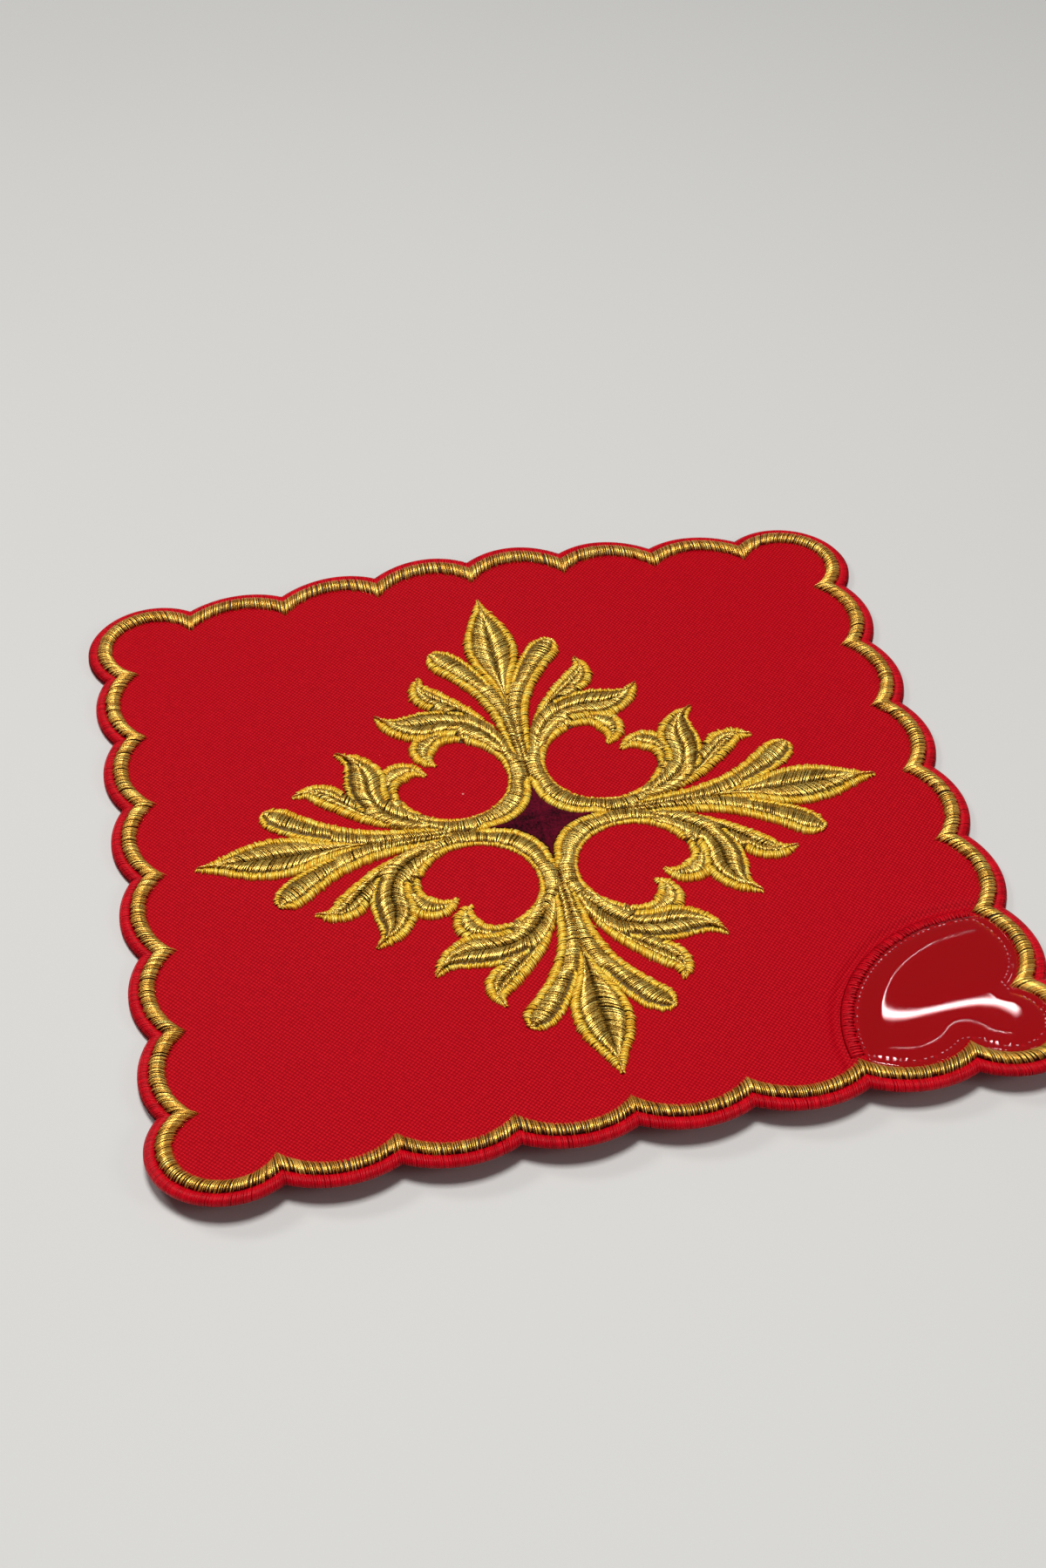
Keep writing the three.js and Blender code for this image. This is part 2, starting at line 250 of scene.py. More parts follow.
def cloth_height(x, y):
    """The cloth's upper face, in millimetres above the table."""
    waves = np.sin(x / 9.1 + np.cos(y / 13)) * np.cos(y / 7.7 + np.sin(x / 17)) * WAVE_HEIGHT
    away = np.hypot(x - PATCH_CENTRE[0], y - PATCH_CENTRE[1])
    groove = GROOVE_DEPTH * np.exp(-(((away - GROOVE_RADIUS) / GROOVE_WIDTH) ** 2))
    return CLOTH_TOP + rise(x, y) + waves - groove


print(f"cloth rises {rise(3, 84):.1f} mm at the back and {rise(0, -84):.1f} mm in front")

# %% [markdown]
# ## The scalloped edge
# Each side has six scallops and each corner a lobe, and all are arcs of circles. The cut edge, the red rim
# and the gold border run beside each other, so one function gives the line at any offset from the edge. A
# curve drawn by hand would need redrawing for each, and an arc only needs a new radius.

# %% A line beside the edge
PITCH, SCALLOPS, SCALLOP_RADIUS, SCALLOP_CENTRES, LOBE_CENTRE = 22, 6, 15, 69, 74.6
EDGE_STEPS = 12, 20


def arc(cx, cy, radius, start, end, steps):
    angle = start + (end - start) * np.arange(steps) / steps
    return np.stack([cx + radius * np.cos(angle), cy + radius * np.sin(angle)], 1)


def turned(points, quarters):
    """Points turned by quarter turns, anticlockwise."""
    x, y = points[..., 0], points[..., 1]
    return [np.stack(p, -1) for p in ((x, y), (-y, x), (-x, -y), (y, -x))][quarters % 4]


def edge_line(offset, scallop_steps, lobe_steps, round_cusps=False):
    """One anticlockwise line round the pall beside its edge. Round cusps suit a line well inside it."""
    tip_x, tip_y = SCALLOPS / 2 * PITCH, SCALLOP_CENTRES + math.sqrt(SCALLOP_RADIUS**2 - (PITCH / 2) ** 2)
    grown, shrunk = (0, offset) if round_cusps else (offset, 0)
    radius = SCALLOP_RADIUS + grown
    lobe = math.hypot(tip_x - LOBE_CENTRE, tip_y - LOBE_CENTRE) + grown
    last = tip_x - PITCH / 2
    # The lobe's circle and the nearest scallop's circle cross at (px, py).
    span = math.hypot(LOBE_CENTRE - last, LOBE_CENTRE - SCALLOP_CENTRES)
    along = (radius**2 - lobe**2 + span**2) / (2 * span)
    across = math.sqrt(radius**2 - along**2)
    ux, uy = (LOBE_CENTRE - last) / span, (LOBE_CENTRE - SCALLOP_CENTRES) / span
    px, py = last + along * ux - across * uy, SCALLOP_CENTRES + along * uy + across * ux
    lobe_angle = math.atan2(py - LOBE_CENTRE, px - LOBE_CENTRE)
    last_angle = math.atan2(py - SCALLOP_CENTRES, px - last)
    half = math.asin(PITCH / 2 / radius)
    quarter = [arc(LOBE_CENTRE, LOBE_CENTRE, lobe + shrunk, math.pi / 2 - lobe_angle, lobe_angle, lobe_steps)]
    for k in range(SCALLOPS):
        start = last_angle if k == 0 else math.pi / 2 - half
        end = math.pi - last_angle if k == SCALLOPS - 1 else math.pi / 2 + half
        quarter.append(arc(last - k * PITCH, SCALLOP_CENTRES, radius + shrunk, start, end, scallop_steps))
    quarter = np.concatenate(quarter)
    return np.concatenate([turned(quarter, q) for q in range(4)])


print("the line at offset 0 is", np.ptp(edge_line(0, *EDGE_STEPS)[:, 0]).round(1), "mm across")

# %% [markdown]
# ## From arrays to meshes
# A piece such as one arm of the embroidery holds a thousand threads. Making each an object would be slow, so
# their corners are worked out in numpy and all go into one mesh. The builder below gathers parts with their
# finish and a number called dye, which says how light each thread is. The mesh keeps it as an attribute.

# %% Gather parts and join them into one piece
class Worktable:
    def __init__(self):
        self.parts, self.count = [], 0

    def add(self, points, quads, triangles, finish, dye=0.5):
        quads = np.array(quads, int).reshape(-1, 4) + self.count
        triangles = np.array(triangles, int).reshape(-1, 3) + self.count
        finishes = [np.full(len(faces), finish) for faces in (quads, triangles)]
        self.parts.append((points, quads, triangles, *finishes, np.broadcast_to(dye, len(points))))
        self.count += len(points)

    def piece(self, name, finishes, slot, *nodes):
        points, quads, triangles, quad_finish, triangle_finish, dye = map(np.concatenate, zip(*self.parts))
        mesh = bpy.data.meshes.new(name)
        mesh.from_pydata((points * MM).tolist(), [], quads.tolist() + triangles.tolist())
        for finish in finishes:
            mesh.materials.append(finish)
        mesh.polygons.foreach_set("material_index", np.concatenate([quad_finish, triangle_finish]))
        mesh.attributes.new("dye", "FLOAT", "POINT").data.foreach_set("value", dye)
        mesh.validate()
        mesh.shade_smooth()
        made = bpy.data.objects.new(name, mesh)
        bpy.context.scene.collection.objects.link(made)
        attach(made, "root")
        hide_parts(*nodes)
        print(f"{name}: {2 * len(quads) + len(triangles)} triangles")
        return made


def closed_rows(rows):
    """Quads and end caps of a long body whose sections are rows of points. The quads close round each row."""
    count, width = rows.shape[:2]
    here = (np.arange(count - 1)[:, None] * width + np.arange(width)).ravel()
    beside = (np.arange(count - 1)[:, None] * width + (np.arange(width) + 1) % width).ravel()
    quads = np.stack([here, beside, beside + width, here + width], 1)
    fan = np.arange(1, width - 1)
    first = np.stack([fan * 0, fan + 1, fan], 1)
    last = np.stack([fan * 0, fan, fan + 1], 1) + (count - 1) * width
    return quads, np.concatenate([first, last])


print("faces of a body of 2 rows of 4 points:", sum(map(len, closed_rows(np.zeros((2, 4, 3))))))

# %% [markdown]
# ## One thread
# A thread is a thin bar along a line of points, with a roof-shaped section of three corners. With smooth
# shading that looks round, and it costs a third of a round tube. Each bar is closed all round, and narrower
# at its ends, where the needle takes it through the cloth.

# %% Many threads at once
END_TAPER = 0.45


def unit(ways, least=0.0):
    """The same ways with a length of 1. The least length stops a division by nothing."""
    return ways / (np.linalg.norm(ways, axis=-1, keepdims=True) + least)


def threads(lines, width, height, outward=None):
    """Bars along lines, an array of threads, points and x, y, z. Gives points, quads and triangles."""
    count, steps = lines.shape[:2]
    along = unit(np.gradient(lines, axis=1), 1e-9)
    up = np.broadcast_to([0.0, 0.0, 1.0], lines.shape) if outward is None else outward
    side = unit(np.cross(along, up), 1e-9)
    up = np.cross(side, along)
    taper = np.ones(steps)
    taper[[0, -1]] = END_TAPER
    half = side * (np.asarray(width) / 2 * taper)[..., None]
    top = up * (np.asarray(height) * taper)[..., None]
    points = np.stack([lines - half, lines + top, lines + half], 2).reshape(-1, 3)
    start = (np.arange(count) * steps * 3)[:, None, None]
    station = (np.arange(steps - 1) * 3)[None, :, None]
    here = (start + station + np.arange(3)).ravel()
    beside = (start + station + (np.arange(3) + 1) % 3).ravel()
    quads = np.stack([here, beside, beside + 3, here + 3], 1)
    caps = np.array([[0, 2, 1], [(steps - 1) * 3, (steps - 1) * 3 + 1, (steps - 1) * 3 + 2]])
    return points, quads, (start + caps).reshape(-1, 3)


def sew(table, lines, width, height, finish, outward=None):
    """Adds threads to a worktable, each with its own lightness."""
    if len(lines):
        points, quads, triangles = threads(lines, width, height, outward)
        dye = np.repeat(draw.random(len(lines)), lines.shape[1] * 3)
        table.add(points, quads, triangles, finish, dye)


trial = threads(np.zeros((1, 5, 3)) + np.arange(5)[None, :, None] * [1, 0, 0], 0.4, 0.2)
print("one thread has", 2 * len(trial[1]) + len(trial[2]), "triangles")

# %% [markdown]
# ## The red cloth
# The cloth is closely woven. Each thread that passes over another shows as a bright dot, in slanting rows.
# There are about two threads to the millimetre, which is too fine for geometry, so the dots come from a
# product of two cosine waves. It has a peak wherever the warp is on top and a trough where the weft is.

# %% The weave
WARP, WEFT = 0.473 * MM, 0.52 * MM
cloth_finish, cloth_shader, cloth_place = finish_named("red_cloth", Roughness=0.6, Specular_IOR_Level=0.06)


def cosine_of(wire, spacing):
    """A wave with its peaks and troughs this far apart, in metres."""
    return wire.maths("COSINE", wire * (math.pi / spacing))


def weave(here):
    """From -1 where the weft is on top to 1 where the warp is, slightly uneven as real threads are."""
    drift = grain(here, 260.0) - 0.5
    x = along_axis(here, "X") + drift * (0.35 * MM)
    y = along_axis(here, "Y") + drift * (0.25 * MM)
    return cosine_of(x, WARP) * cosine_of(y, WEFT)


over = weave(cloth_place)
uneven = grain(cloth_place, 1500.0, 3.0)
patchy = grain(cloth_place, 28.0)
dot = ramped(over * 0.8 + (uneven - 0.5) * 0.9, -0.35, 0.95)
cloth_red = mixed(dot, (148, 0, 12), (218, 20, 36))
cloth_red = mixed(ramped(patchy, 0.3, 0.8) * 0.25, cloth_red, (178, 0, 20))
sheet_middle = (*PATCH_CENTRE * MM, 2 * MM)
corner = cloth_place.node(
    "ShaderNodeVectorMath", {"operation": "DISTANCE"}, {0: cloth_place, 1: sheet_middle}, "Value"
)
under_sheet = 1 - ramped(corner, (PATCH_RADIUS - 0.5) * MM, (PATCH_RADIUS + 0.5) * MM)
cloth_red = mixed(under_sheet, cloth_red, (180, 0, 20))
lint = cloth_place.node("ShaderNodeTexVoronoi", {}, {"Vector": cloth_place, "Scale": 95.0}, "Distance")
speck = ramped(lint, 0.035, 0.02) * ramped(grain(cloth_place, 60.0), 0.6, 0.62)
feed(cloth_shader, "Base Color", mixed(speck, cloth_red, (225, 150, 140)))
relief = (abs(over) ** 0.7 * 0.8 + uneven * 0.4) * (1 - under_sheet * 0.9)
feed(cloth_shader, "Normal", bumped(relief, 0.06 * MM))
print("weave nodes:", len(cloth_finish.node_tree.nodes))

# %% [markdown]
# ## The panel
# The panel is one sheet of cloth with a thickness. A grid of points fills its outline, and rounds of points
# follow the groove beside the corner sheet, because a square grid would turn it into steps. Delaunay
# triangles join the points. Those that bridge the hollows between scallops are dropped.

# %% Fill an outline
def inside(points, outline):
    """True for each point within a closed outline, by counting the edges to its right."""
    x, y = points[:, :1], points[:, 1:2]
    ax, ay = outline[:, 0], outline[:, 1]
    bx, by = np.roll(ax, -1), np.roll(ay, -1)
    spans = (ay > y) != (by > y)
    crossing = ax + (y - ay) * (bx - ax) / np.where(by == ay, 1e-9, by - ay)
    return (spans & (x < crossing)).sum(1) % 2 == 1


def grid_points(columns, rows, outline):
    """The points within an outline where columns and rows cross."""
    grid = np.stack(np.meshgrid(columns, rows), -1).reshape(-1, 2)
    return grid[inside(grid, outline)]


def filled(outline, inner):
    """Triangles that fill an outline through its inner points, and none across its hollows."""
    spots = [Vector(p) for p in np.concatenate([outline, inner])]
    rim = [(i, (i + 1) % len(outline)) for i in range(len(outline))]
    found = delaunay_2d_cdt(spots, rim, [], 1, 1e-6, False)
    flat = np.array([tuple(v) for v in found[0]])
    corners = np.array([tuple(f) for f in found[2]])
    corners = corners[inside(flat[corners].mean(1), outline)]
    a, b, c = (flat[corners[:, i]] for i in range(3))
    clockwise = (b - a)[:, 0] * (c - a)[:, 1] < (b - a)[:, 1] * (c - a)[:, 0]
    corners[clockwise] = corners[clockwise][:, ::-1]
    return flat, corners


def slab(table, outline, inner, top, bottom, finish):
    """A closed sheet between two height functions, over an outline filled through its inner points."""
    flat, corners = filled(outline, inner)
    count = len(flat)
    upper = np.column_stack([flat, top(*flat.T)])
    lower = np.column_stack([flat, bottom(*flat.T)])
    edges = np.concatenate([corners[:, [0, 1]], corners[:, [1, 2]], corners[:, [2, 0]]])
    both = set(map(tuple, edges.tolist()))
    rim = np.array([e for e in edges.tolist() if (e[1], e[0]) not in both])
    walls = np.stack([rim[:, 1], rim[:, 0], rim[:, 0] + count, rim[:, 1] + count], 1)
    faces = np.concatenate([corners, corners[:, ::-1] + count])
    table.add(np.concatenate([upper, lower]), walls, faces, finish)


print("the pall's middle is inside its edge:", inside(np.zeros((1, 2)), edge_line(0, *EDGE_STEPS))[0])

# %% The panel
CLOTH_EDGE, GRID_MARGIN, GRID, UNDERSIDE = 2.9, 1.2, 1.5, 0.05
ROUNDS, ROUND_STEPS = 8, 330

inner_line = edge_line(CLOTH_EDGE - GRID_MARGIN, *EDGE_STEPS)
span = np.arange(-84, 84, GRID)
grid = grid_points(span, span, inner_line)
from_groove = abs(np.hypot(*(grid - PATCH_CENTRE).T) - GROOVE_RADIUS)
grid = grid[from_groove > 3 * GROOVE_WIDTH - 0.4]
rounds = [GROOVE_RADIUS + GROOVE_WIDTH * step / 3 for step in range(-ROUNDS, ROUNDS + 1)]
rounds = np.concatenate([arc(*PATCH_CENTRE, radius, 0, 2 * math.pi, ROUND_STEPS) for radius in rounds])
inner_points = np.concatenate([grid, rounds[inside(rounds, inner_line)]])
panel = Worktable()
panel_edge = edge_line(CLOTH_EDGE, *EDGE_STEPS)
slab(panel, panel_edge, inner_points, cloth_height, lambda x, y: rise(x, y) + UNDERSIDE, 0)
cloth = panel.piece("red_panel", [cloth_finish], "red_twill", "pall_cloth")

# %% [markdown]
# ## The red rim
# The cut edge is wrapped in dense red satin stitch. Each stitch starts on the face, passes over a low crest,
# goes round the edge and ends underneath, so it is a thread along a section of eight points. A padded core in
# the same red lies under the threads and closes any gap between them.

# %% Red thread
def satin_finish(name, dark, middle, light, metal=0.0, rough=0.4, glint=0.3, gloss=0.5):
    """Thread with a lightness of its own, and painted glints: fine lighter and darker flecks along it."""
    material, shader, here = finish_named(name, Metallic=metal, Specular_IOR_Level=gloss)
    dye = here.node("ShaderNodeAttribute", {"attribute_name": "dye"}, {}, "Fac")
    # Painted glints: a fine noise makes the colour lighter and darker along the thread, where the foil would
    # catch the light. The same noise also varies the roughness.
    painted_glint_and_roughness = grain(here, 2600.0, 2.0, 0.6)
    tone = (dye - 0.5) * 0.7 + (painted_glint_and_roughness - 0.5) * 2.2 * glint + 0.5
    colour = mixed(ramped(tone, 0.0, 0.5), dark, middle)
    feed(shader, "Base Color", mixed(ramped(tone, 0.5, 1.0), colour, light))
    feed(shader, "Roughness", painted_glint_and_roughness * 0.25 + (rough - 0.125))
    feed(shader, "Normal", bumped(grain(here, 3800.0), 0.05 * MM))
    return material


rim_thread = satin_finish("red_satin", (166, 0, 16), (200, 0, 22), (220, 6, 30), gloss=0.15)
rim_core = satin_finish("red_padding", (140, 0, 12), (165, 0, 16), (180, 0, 18), rough=0.5, gloss=0.1)
print("red threads:", rim_core.name, rim_thread.name)

# %% Rim threads
CORE, THREAD = 0, 1
RIM_SECTION = np.array([
    [2.9, 1.7], [3.4, 1.96], [4.1, 2.08], [4.8, 1.85], [5.3, 1.3], [5.35, 0.6], [4.8, 0.16], [4.1, 0.14],
])
RIM_CORE_SECTION = np.array([
    [2.9, 1.62], [3.4, 1.9], [4.1, 2.02], [4.75, 1.79], [5.22, 1.25], [5.27, 0.65], [4.8, 0.24], [2.9, 0.24],
])
OUTERMOST = 4
RIM_STITCHES, RIM_SWAY, RIM_RAGGED = (70, 140), 0.15, 0.2
RIM_THREAD_WIDTH, RIM_THREAD_HEIGHT = 0.48, 0.05


def edge_lines(section, scallop_steps, lobe_steps):
    """Lines across the edge, one at each step along it, through the section's offsets and heights."""
    rows = [edge_line(offset, scallop_steps, lobe_steps) for offset, height in section]
    flat = np.stack(rows, 1)
    lift = rise(flat[..., 0], flat[..., 1]) + section[:, 1]
    return np.concatenate([flat, lift[..., None]], 2)


def ring(table, section, finish):
    """A closed band of the given section all the way round the edge."""
    rows = edge_lines(section, *EDGE_STEPS)
    quads, _ = closed_rows(np.concatenate([rows, rows[:1]]))
    table.add(rows.reshape(-1, 3), quads % (rows.shape[0] * rows.shape[1]), [], finish)


def outward_of(lines, section):
    """The direction away from the core at each point of lines across the edge."""
    slope = np.gradient(section, axis=0)
    across = np.linalg.norm(slope, axis=1)
    flat = unit(lines[:, OUTERMOST, :2] - lines[:, 0, :2])
    out = np.zeros(lines.shape)
    out[..., :2] = flat[:, None, :] * (-slope[:, 1] / across)[None, :, None]
    out[..., 2] = slope[:, 0] / across
    return out


def swayed(lines, along, ragged):
    """The same lines moved a little along the edge, and with ends that stick out unevenly."""
    step = np.roll(lines, -1, 0) - lines
    moved = lines + step * draw.normal(0, along, (len(lines), 1, 1))
    moved[:, 0] += (moved[:, 0] - moved[:, 1]) * draw.normal(0, ragged, (len(lines), 1))
    moved[:, -1] += (moved[:, -1] - moved[:, -2]) * draw.normal(0, ragged, (len(lines), 1))
    return moved


rim = Worktable()
ring(rim, RIM_CORE_SECTION[::-1], CORE)
rim_lines = edge_lines(RIM_SECTION, *RIM_STITCHES)
rim_outward = outward_of(rim_lines, RIM_SECTION)
sew(rim, swayed(rim_lines, RIM_SWAY, RIM_RAGGED), RIM_THREAD_WIDTH, RIM_THREAD_HEIGHT, THREAD, rim_outward)
rim.piece("stitched_rim", [rim_core, rim_thread], "red_satin", "red_rim")

# %% [markdown]
# ## The gold border
# Inside the rim runs a raised line of metallic satin stitch. The threads lie straight across it over a low
# padded arch. Their ends are ragged, and brown gaps show between some of them, as metallic thread is stiff
# and never lies quite evenly. The brown there is the padding's colour, painted shade for those gaps.

# %% Border threads
border_thread = satin_finish("gold_satin", (164, 108, 32), (244, 186, 78), (255, 230, 130), 0.75, 0.33)
# The padding's dark brown is painted shade for the gaps between the gold threads.
border_core_painted_shade = satin_finish("brown_padding_painted_shade", (50, 32, 10), (84, 58, 20), (110, 80, 30), rough=0.6)
BORDER_SECTION = np.array([[-0.15, 1.65], [0.3, 2.25], [1.0, 2.72], [1.8, 2.85], [2.6, 2.6], [3.2, 2.1]])
BORDER_CORE_SECTION = np.array([[0.3, 1.5], [0.6, 2.05], [1.2, 2.5], [1.9, 2.58], [2.5, 2.3], [2.85, 1.5]])
BORDER_STITCHES, BORDER_SWAY, BORDER_RAGGED = (64, 108), 0.3, 0.5
BORDER_THREAD_WIDTH, BORDER_THREAD_HEIGHT = 0.34, 0.2

border = Worktable()
ring(border, BORDER_CORE_SECTION[::-1], CORE)
border_lines = swayed(edge_lines(BORDER_SECTION, *BORDER_STITCHES), BORDER_SWAY, BORDER_RAGGED)
sew(border, border_lines, BORDER_THREAD_WIDTH, BORDER_THREAD_HEIGHT, THREAD)
border.piece("stitched_border", [border_core_painted_shade, border_thread], "gold_satin", "gold_border")

# %% [markdown]
# ## The leaves
# Each leaf is drawn as a spine: a few rows of x, y and half width, joined by a smooth Catmull-Rom curve. The
# embroiderer fills a leaf with two columns of satin stitch that meet along its midrib and lean towards its
# tip, like the barbs of a feather. A narrower column of yellow thread is then sewn round the outline.

# %% Spines of one arm and of one scroll's end
CENTRE_LEAF = [
    (0, 37, 0.4), (0, 43, 2.2), (0, 47, 3.4), (0, 52, 5.4), (0, 57.5, 6), (0, 63, 4.8), (0, 68.5, 2.3),
    (0, 72.8, 0.3),
]
FINGER = [
    (-0.9, 18.3, 0.8), (-1.1, 20.5, 1), (-1.6, 29, 1.7), (-2.4, 37, 2.4), (-5, 44.5, 2.9), (-9.1, 51.3, 3.5),
    (-11.6, 54.3, 3.6), (-13.0, 55.8, 3.0), (-13.9, 56.6, 2.1), (-14.5, 57, 0.5),
]
UPPER_LEAFLET = [
    (-4.8, 30, 1.2), (-8.8, 36, 2), (-13, 40, 2.8), (-17, 43.5, 3.4), (-18.6, 46.9, 2.2), (-17.9, 50.4, 0.3),
]
MAIN_LEAF = [
    (-3.4, 22, 1.5), (-5.8, 28, 2.7), (-10, 32.6, 3.7), (-15.4, 34.5, 4.4), (-21, 34.5, 4.7),
    (-26.2, 36.1, 2.7), (-29.6, 39.7, 0.3),
]
LOWER_LEAFLET = [
    (-9, 28.6, 1.4), (-13.5, 29.8, 1.6), (-17.6, 30, 2.5), (-20.4, 28.1, 3.2), (-21.1, 25.5, 2.7),
    (-20.5, 23.3, 1.7), (-19, 21.6, 0.3),
]
SPINE_POINTS, RUN_POINTS = 160, 40


def gaps_of(line):
    """The distances from each point of a line to the next."""
    return np.linalg.norm(np.diff(line, axis=0), axis=1)


def at_distance(line, far, wanted):
    """Places on a line whose points lie at distances far along it."""
    return np.stack([np.interp(wanted, far, column) for column in line.T], -1)


def hermite(p, q, slope_p, slope_q, t):
    return (p + slope_p * t + (3 * (q - p) - 2 * slope_p - slope_q) * t**2
            + (2 * (p - q) + slope_p + slope_q) * t**3)


def smooth_spine(rows):
    """Points of the curve through all rows, evenly spaced along its length."""
    rows = np.array(rows, float)
    rows = np.concatenate([[2 * rows[0] - rows[1]], rows, [2 * rows[-1] - rows[-2]]])
    gaps = gaps_of(rows) ** 0.5
    t = np.linspace(0, 1, RUN_POINTS, endpoint=False)[:, None]
    runs = []
    for i in range(1, len(rows) - 2):
        a, b, c, d = rows[i - 1:i + 3]
        before, here, after = gaps[i - 1:i + 2]
        slope_b = ((b - a) / before - (c - a) / (before + here) + (c - b) / here) * here
        slope_c = ((c - b) / here - (d - b) / (here + after) + (d - c) / after) * here
        runs.append(hermite(b, c, slope_b, slope_c, t))
    line = np.concatenate([*runs, rows[-2:-1]])
    far = np.r_[0, np.cumsum(gaps_of(line[:, :2]))]
    return at_distance(line, far, np.linspace(0, far[-1], SPINE_POINTS))


print("centre leaf is", round(float(np.ptp(smooth_spine(CENTRE_LEAF)[:, 1])), 1), "mm long")

# %% Sides of a leaf
OUTLINE_FADE = 0.03


def rails(rows):
    """A leaf's middle line, the way to its left, and its half width, along its spine."""
    spine = smooth_spine(rows)
    ahead = unit(np.gradient(spine[:, :2], axis=0))
    return spine[:, :2], np.stack([-ahead[:, 1], ahead[:, 0]], 1), spine[:, 2]


def side_line(rows, side, inset=0.0):
    """One side of a leaf. side is 1 for its left and -1 for its right; inset stops at the middle line."""
    middle, left, half = rails(rows)
    return middle + left * (side * np.maximum(half - inset, 0))[:, None]


def share_outlined(start, stop):
    """1 where a leaf's side has an outline and 0 where it has none, with a short slope between them."""
    share = np.linspace(0, 1, SPINE_POINTS)
    return np.clip(np.minimum(share - start, stop - share) / OUTLINE_FADE + 0.5, 0, 1)


def leaf_outline(rows, inset, start=0):
    """Both sides of a leaf, moved in by an inset and without the first points of its foot."""
    return np.concatenate([side_line(rows, 1, inset)[start:], side_line(rows, -1, inset)[start:][::-1]])


print("main leaf is", round(2 * float(rails(MAIN_LEAF)[2].max()), 1), "mm wide")

# %% [markdown]
# ## Satin stitch between two lines
# All the embroidery comes from one helper. It walks along two lines side by side and lays threads from one to
# the other. It knows how high both ends stand and how much the thread arches between them. That arch makes
# light run along a column of satin in bright and dark bands.

# %% Lay satin between two lines
ROUNDNESS = 0.32


def satin(first, second, pitch, lean=0.0, ends=(0.0, 0.0), arch=0.6, steps=4, ragged=0.12, overrun=0.0):
    """Threads between matching points of two rails. lean moves their first ends along the rail, in mm."""
    far = np.r_[0, np.cumsum(np.maximum(gaps_of(first), gaps_of(second)))]
    count = max(2, round(far[-1] / pitch))
    place = (np.arange(count) + 0.5 + draw.normal(0, 0.2, count)) * far[-1] / count
    start = at_distance(first, far, place + lean)
    end = at_distance(second, far, place + draw.normal(0, 0.15 * pitch, count))
    way = unit(end - start, 1e-6)
    start = start - way * draw.normal(0, ragged, (count, 1))
    end = end + way * draw.normal(overrun, ragged, (count, 1))
    u = np.linspace(0, 1, steps + 1)
    flat = start[:, None] + (end - start)[:, None] * u[None, :, None]
    crown = np.minimum(arch, ROUNDNESS * np.linalg.norm(end - start, axis=1, keepdims=True))
    height = ends[0] * (1 - u) + ends[1] * u + crown * (4 * u * (1 - u)) ** 0.75
    height = height * (1 + draw.normal(0, 0.05, (count, 1)))
    return np.concatenate([flat, (cloth_height(flat[..., 0], flat[..., 1]) + height)[..., None]], 2)


def only(lines, keep_out):
    """Leaves out threads whose middle lies in one of the outlines to keep out of."""
    middle = lines[:, lines.shape[1] // 2, :2]
    keep = np.ones(len(lines), bool)
    for outline in keep_out:
        keep &= ~inside(middle, outline)
    return lines[keep]


print("threads, points, xyz:", satin(np.array([[0, 0], [9.0, 0]]), np.array([[0, 2], [9.0, 2]]), 0.36).shape)

# %% [markdown]
# ## Two gold threads
# The fills are a pale metallic thread, a thin foil wound round a core, so it sparkles and turns almost brown
# where no lamp is mirrored; part of that sparkle is painted glints in its colour. The outline thread is a
# warmer yellow and shines less. Under both lies padding, coloured dark as painted shade, so that gaps between
# stitches read as depth.

# %% Embroidery finishes
fill_thread = satin_finish("gold_foil_thread", (138, 96, 26), (236, 190, 84), (255, 240, 144), 0.8, 0.3, 0.75)
outline_thread = satin_finish("yellow_gold_thread", (238, 166, 24), (255, 208, 54), (255, 234, 118), 0.28, 0.36)
# The padding's dark olive is painted shade for the gaps between the stitches.
padding_painted_shade = satin_finish("olive_padding_painted_shade", (66, 46, 10), (102, 76, 20), (130, 100, 34), rough=0.65)
GOLDS = [padding_painted_shade, fill_thread, outline_thread]
PADDING, FILL, OUTLINE = 0, 1, 2

THREAD_PITCH, FILL_WIDTH, FILL_HEIGHT = 0.34, 0.36, 0.16
FILL_EDGE, FILL_ARCH, RIB_HEIGHT = 0.35, 0.75, 0.3
OUTLINE_PITCH, OUTLINE_THREAD, OUTLINE_HEIGHT = 0.27, 0.5, 0.09
OUTLINE_WIDTH, OUTLINE_CREST, OUTLINE_FOOT, OUTLINE_LEAN = 2.0, 0.8, 0.05, 0.6
UNDER_OUTLINE, PAST_EDGE, SHORTEST_STITCH = 1.5, -0.1, 0.25
print("golds:", [g.name for g in GOLDS])

# %% [markdown]
# ## One leaf
# The embroiderer pads a leaf before filling it: one soft roll under a finger, and two under a leaf with a
# midrib, so that its halves face different ways. The fill's ends lie under the outline. Both are left out
# where another leaf covers them, because two layers of thread in one place would poke through each other.

# %% Pad, fill and outline a leaf
ONE_ROLL = ((0, 0), (0.1, 0.4), (0.5, 0.7), (0.9, 0.4), (1, 0))
TWO_ROLLS = ((0, 0), (0.08, 0.35), (0.27, 0.5), (0.5, 0.08), (0.73, 0.5), (0.92, 0.35), (1, 0))
PAD_INSET, FULL_WIDTH = 0.35, 6


def pad_leaf(table, place, first, second, rolls=ONE_ROLL):
    """Padding under a leaf, drawn in a little from both sides, and low where the leaf is narrow."""
    a, b = place(first)[::4], place(second)[::4]
    across = np.linalg.norm(b - a, axis=1, keepdims=True)
    share = np.minimum(PAD_INSET / np.maximum(across, 1e-6), 0.45)
    fullness = np.clip(across[:, 0] / FULL_WIDTH, 0.2, 1)
    section = []
    for part, height in rolls:
        spot = a + (b - a) * (share + (1 - 2 * share) * part)
        section.append(np.column_stack([spot, cloth_height(*spot.T) + height * fullness]))
    rows = np.stack(section, 1)
    turn = np.cross(b[len(b) // 2] - a[len(a) // 2], a[len(a) // 2 + 1] - a[len(a) // 2])
    if turn < 0:
        rows = rows[:, ::-1]
    quads, caps = closed_rows(rows)
    table.add(rows.reshape(-1, 3), quads, caps, PADDING)


